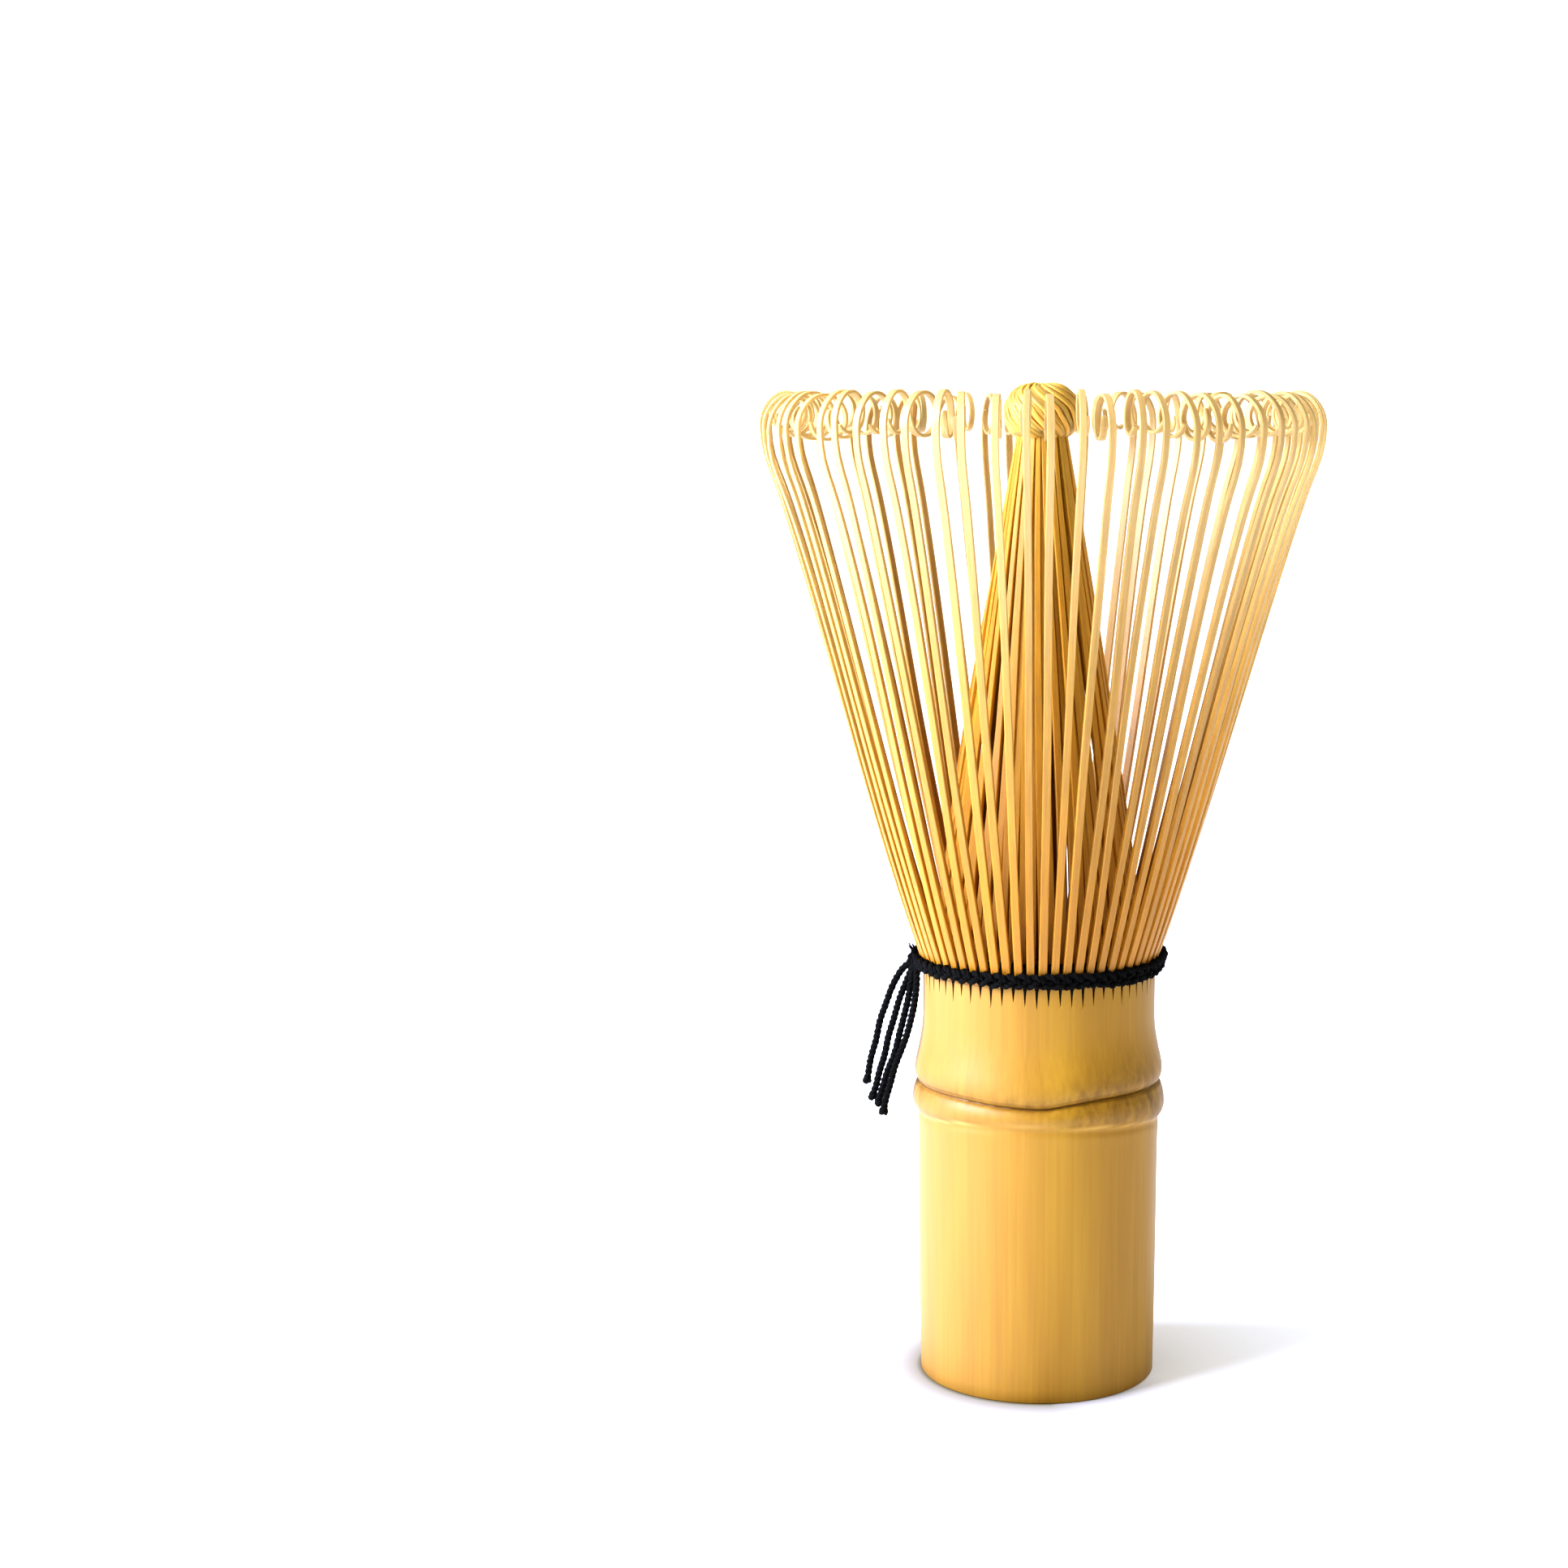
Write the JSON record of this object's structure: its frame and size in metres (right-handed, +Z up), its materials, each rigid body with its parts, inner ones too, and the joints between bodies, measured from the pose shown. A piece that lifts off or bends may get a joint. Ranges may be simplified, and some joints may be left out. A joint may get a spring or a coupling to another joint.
{
  "type": "bamboo tea whisk",
  "caption": "Bamboo whisk for powdered tea: a short culm handle whose top is split into curled outer tines round a gathered, twisted inner bundle, bound by a black thread.",
  "frame": {"origin": "centre of the cut base of the handle", "axes": "+Z up along the culm to the crown; the thread knot is on the -X side; -Y is the front"},
  "size_m": [0.064, 0.064, 0.115],
  "materials": {
    "culm_bamboo": "dried and oiled bamboo skin, satin, warm yellow",
    "tine_bamboo": "split and scraped bamboo, satin, honey",
    "inner_bamboo": "split and scraped bamboo, satin, amber",
    "crown_bamboo": "thin twisted bamboo tips, satin, pale",
    "thread": "black twisted cotton thread, matt"
  },
  "bodies": {
    "handle": {"handle_culm": "culm_bamboo", "thread_lower_course": "thread", "thread_upper_course": "thread", "thread_knot": "thread", "thread_tail_1": "thread", "thread_tail_2": "thread", "thread_tail_3": "thread", "thread_tail_4": "thread"},
    "outer_01": {"outer_stave_01": "tine_bamboo"},
    "outer_02": {"outer_stave_02": "tine_bamboo"},
    "outer_03": {"outer_stave_03": "tine_bamboo"},
    "outer_04": {"outer_stave_04": "tine_bamboo"},
    "outer_05": {"outer_stave_05": "tine_bamboo"},
    "outer_06": {"outer_stave_06": "tine_bamboo"},
    "outer_07": {"outer_stave_07": "tine_bamboo"},
    "outer_08": {"outer_stave_08": "tine_bamboo"},
    "outer_09": {"outer_stave_09": "tine_bamboo"},
    "outer_10": {"outer_stave_10": "tine_bamboo"},
    "outer_11": {"outer_stave_11": "tine_bamboo"},
    "outer_12": {"outer_stave_12": "tine_bamboo"},
    "outer_13": {"outer_stave_13": "tine_bamboo"},
    "outer_14": {"outer_stave_14": "tine_bamboo"},
    "outer_15": {"outer_stave_15": "tine_bamboo"},
    "outer_16": {"outer_stave_16": "tine_bamboo"},
    "inner_bundle": {"inner_stave_01": "inner_bamboo", "inner_stave_02": "inner_bamboo", "inner_stave_03": "inner_bamboo", "inner_stave_04": "inner_bamboo", "inner_stave_05": "inner_bamboo", "inner_stave_06": "inner_bamboo", "inner_stave_07": "inner_bamboo", "inner_stave_08": "inner_bamboo", "inner_stave_09": "inner_bamboo", "inner_stave_10": "inner_bamboo", "inner_stave_11": "inner_bamboo", "inner_stave_12": "inner_bamboo", "inner_stave_13": "inner_bamboo", "inner_stave_14": "inner_bamboo", "inner_stave_15": "inner_bamboo", "inner_stave_16": "inner_bamboo", "twisted_crown": "crown_bamboo"}
  },
  "joints": [
    {"name": "outer_01_flex", "type": "hinge", "parent": "handle", "child": "outer_01", "pos_m": [0.00233, -0.01284, 0.04905], "axis": [0.9839, 0.1788, 0], "range_deg": [-4, 6], "stiffness_Nm_per_rad": 0.019},
    {"name": "outer_02_flex", "type": "hinge", "parent": "handle", "child": "outer_02", "pos_m": [0.00707, -0.01097, 0.04905], "axis": [0.8406, 0.5417, 0], "range_deg": [-4, 6], "stiffness_Nm_per_rad": 0.019},
    {"name": "outer_03_flex", "type": "hinge", "parent": "handle", "child": "outer_03", "pos_m": [0.01073, -0.00743, 0.04905], "axis": [0.5693, 0.8221, 0], "range_deg": [-4, 6], "stiffness_Nm_per_rad": 0.019},
    {"name": "outer_04_flex", "type": "hinge", "parent": "handle", "child": "outer_04", "pos_m": [0.01276, -0.00276, 0.04905], "axis": [0.2113, 0.9774, 0], "range_deg": [-4, 6], "stiffness_Nm_per_rad": 0.019},
    {"name": "outer_05_flex", "type": "hinge", "parent": "handle", "child": "outer_05", "pos_m": [0.01284, 0.00233, 0.04905], "axis": [-0.1788, 0.9839, 0], "range_deg": [-4, 6], "stiffness_Nm_per_rad": 0.019},
    {"name": "outer_06_flex", "type": "hinge", "parent": "handle", "child": "outer_06", "pos_m": [0.01097, 0.00707, 0.04905], "axis": [-0.5417, 0.8406, 0], "range_deg": [-4, 6], "stiffness_Nm_per_rad": 0.019},
    {"name": "outer_07_flex", "type": "hinge", "parent": "handle", "child": "outer_07", "pos_m": [0.00743, 0.01073, 0.04905], "axis": [-0.8221, 0.5693, 0], "range_deg": [-4, 6], "stiffness_Nm_per_rad": 0.019},
    {"name": "outer_08_flex", "type": "hinge", "parent": "handle", "child": "outer_08", "pos_m": [0.00276, 0.01276, 0.04905], "axis": [-0.9774, 0.2113, 0], "range_deg": [-4, 6], "stiffness_Nm_per_rad": 0.019},
    {"name": "outer_09_flex", "type": "hinge", "parent": "handle", "child": "outer_09", "pos_m": [-0.00233, 0.01284, 0.04905], "axis": [-0.9839, -0.1788, 0], "range_deg": [-4, 6], "stiffness_Nm_per_rad": 0.019},
    {"name": "outer_10_flex", "type": "hinge", "parent": "handle", "child": "outer_10", "pos_m": [-0.00707, 0.01097, 0.04905], "axis": [-0.8406, -0.5417, 0], "range_deg": [-4, 6], "stiffness_Nm_per_rad": 0.019},
    {"name": "outer_11_flex", "type": "hinge", "parent": "handle", "child": "outer_11", "pos_m": [-0.01073, 0.00743, 0.04905], "axis": [-0.5693, -0.8221, 0], "range_deg": [-4, 6], "stiffness_Nm_per_rad": 0.019},
    {"name": "outer_12_flex", "type": "hinge", "parent": "handle", "child": "outer_12", "pos_m": [-0.01276, 0.00276, 0.04905], "axis": [-0.2113, -0.9774, 0], "range_deg": [-4, 6], "stiffness_Nm_per_rad": 0.019},
    {"name": "outer_13_flex", "type": "hinge", "parent": "handle", "child": "outer_13", "pos_m": [-0.01284, -0.00233, 0.04905], "axis": [0.1788, -0.9839, 0], "range_deg": [-4, 6], "stiffness_Nm_per_rad": 0.019},
    {"name": "outer_14_flex", "type": "hinge", "parent": "handle", "child": "outer_14", "pos_m": [-0.01097, -0.00707, 0.04905], "axis": [0.5417, -0.8406, 0], "range_deg": [-4, 6], "stiffness_Nm_per_rad": 0.019},
    {"name": "outer_15_flex", "type": "hinge", "parent": "handle", "child": "outer_15", "pos_m": [-0.00743, -0.01073, 0.04905], "axis": [0.8221, -0.5693, 0], "range_deg": [-4, 6], "stiffness_Nm_per_rad": 0.019},
    {"name": "outer_16_flex", "type": "hinge", "parent": "handle", "child": "outer_16", "pos_m": [-0.00276, -0.01276, 0.04905], "axis": [0.9774, -0.2113, 0], "range_deg": [-4, 6], "stiffness_Nm_per_rad": 0.019},
    {"name": "inner_bundle_sway", "type": "hinge", "parent": "handle", "child": "inner_bundle", "pos_m": [0, 0, 0.04905], "axis": [0, 1, 0], "range_deg": [-2.5, 2.5], "stiffness_Nm_per_rad": 0.15}
  ]
}
